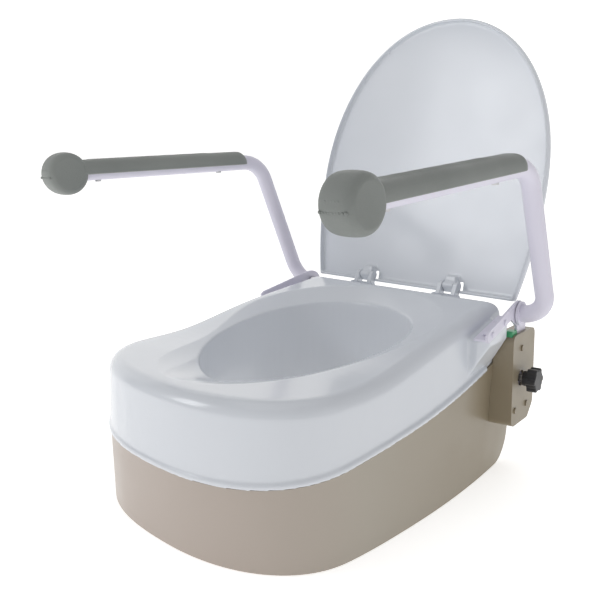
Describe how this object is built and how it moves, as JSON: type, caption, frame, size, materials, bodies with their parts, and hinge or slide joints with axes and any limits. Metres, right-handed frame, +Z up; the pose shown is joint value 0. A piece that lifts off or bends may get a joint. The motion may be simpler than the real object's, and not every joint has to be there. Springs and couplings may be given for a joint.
{
  "type": "raised toilet seat",
  "caption": "Raised toilet seat with a hinged lid, fold-up padded armrests on steel tubes and side screw clamps that grip the bowl.",
  "frame": {"origin": "on the floor, in the middle of the whole object's box", "axes": "+Z up, -Y towards the front of the seat, +X towards the arm on the side of that name, right"},
  "size_m": [0.5566, 0.5257, 0.593],
  "materials": {
    "white_plastic": "glossy moulded polypropylene",
    "white_metal": "white powder coat on steel",
    "arm_pad": "matt grey polyurethane with a fine grain",
    "black_plastic": "satin black moulding",
    "green_plastic": "satin green moulding",
    "bush_plastic": "natural acetal",
    "steel": "zinc plated",
    "rubber": "soft black rubber"
  },
  "bodies": {
    "seat": {"arm_bracket_left": "white_metal", "arm_bracket_right": "white_metal", "base_skirt": "white_plastic", "bowl_rest_pads": "rubber", "bracket_rivets_left": "white_metal", "bracket_rivets_right": "white_metal", "clamp_housing_left": "white_plastic", "clamp_housing_right": "white_plastic", "clamp_nut_left": "steel", "clamp_nut_right": "steel", "front_stop_pad": "rubber", "hinge_block_left": "white_plastic", "hinge_block_right": "white_plastic", "hinge_pin_left": "steel", "hinge_pin_right": "steel", "hinge_screws": "steel", "housing_screws_left": "white_plastic", "housing_screws_right": "white_plastic", "pivot_bush_left": "bush_plastic", "pivot_bush_right": "bush_plastic", "release_spring_left": "steel", "release_spring_right": "steel", "seat_screws": "steel", "seat_shell": "white_plastic"},
    "lid": {"lid": "white_plastic"},
    "arm_right": {"arm_hub_right": "white_metal", "arm_pad_right": "arm_pad", "arm_tube_right": "white_metal", "pad_screws_right": "steel", "pivot_bolt_right": "steel"},
    "clamp_shoe_right": {"clamp_shoe_right": "white_plastic", "shoe_rubber_right": "rubber"},
    "clamp_knob_right": {"clamp_knob_right": "black_plastic", "clamp_screw_right": "steel"},
    "release_right": {"release_tab_right": "green_plastic"},
    "arm_left": {"arm_hub_left": "white_metal", "arm_pad_left": "arm_pad", "arm_tube_left": "white_metal", "pad_screws_left": "steel", "pivot_bolt_left": "steel"},
    "clamp_shoe_left": {"clamp_shoe_left": "white_plastic", "shoe_rubber_left": "rubber"},
    "clamp_knob_left": {"clamp_knob_left": "black_plastic", "clamp_screw_left": "steel"},
    "release_left": {"release_tab_left": "green_plastic"}
  },
  "joints": [
    {"name": "lid_hinge", "type": "hinge", "parent": "seat", "child": "lid", "pos_m": [0, 0.167, 0.234], "axis": [1, 0, 0], "range_deg": [0, 110.8]},
    {"name": "arm_right_fold", "type": "hinge", "parent": "seat", "child": "arm_right", "pos_m": [0.184, 0.1585, 0.213], "axis": [-0.9854, -0.1702, 0], "range_deg": [0, 95]},
    {"name": "clamp_right_slide", "type": "slide", "parent": "seat", "child": "clamp_shoe_right", "axis": [-0.9854, -0.1702, 0], "range_m": [-0.008, 0.008]},
    {"name": "clamp_right_knob", "type": "hinge", "parent": "clamp_shoe_right", "child": "clamp_knob_right", "pos_m": [0.18325, 0.16284, 0.129], "axis": [-0.9854, -0.1702, 0], "range_deg": [-720, 720]},
    {"name": "release_right_press", "type": "slide", "parent": "seat", "child": "release_right", "axis": [0, 0, -1], "range_m": [0, 0.004], "stiffness_N_per_m": 600, "springref_m": -0.002, "deforming": ["release_spring_right"]},
    {"name": "arm_left_fold", "type": "hinge", "parent": "seat", "child": "arm_left", "pos_m": [-0.184, 0.1585, 0.213], "axis": [-0.9854, 0.1702, 0], "range_deg": [0, 95]},
    {"name": "clamp_left_slide", "type": "slide", "parent": "seat", "child": "clamp_shoe_left", "axis": [0.9854, -0.1702, 0], "range_m": [-0.008, 0.008]},
    {"name": "clamp_left_knob", "type": "hinge", "parent": "clamp_shoe_left", "child": "clamp_knob_left", "pos_m": [-0.18325, 0.16284, 0.129], "axis": [0.9854, -0.1702, 0], "range_deg": [-720, 720]},
    {"name": "release_left_press", "type": "slide", "parent": "seat", "child": "release_left", "axis": [0, 0, -1], "range_m": [0, 0.004], "stiffness_N_per_m": 600, "springref_m": -0.002, "deforming": ["release_spring_left"]}
  ],
  "couplings": [
    {"joint": "clamp_right_knob", "follows": "clamp_right_slide", "rad_per_m": 1570},
    {"joint": "clamp_left_knob", "follows": "clamp_left_slide", "rad_per_m": 1570}
  ]
}
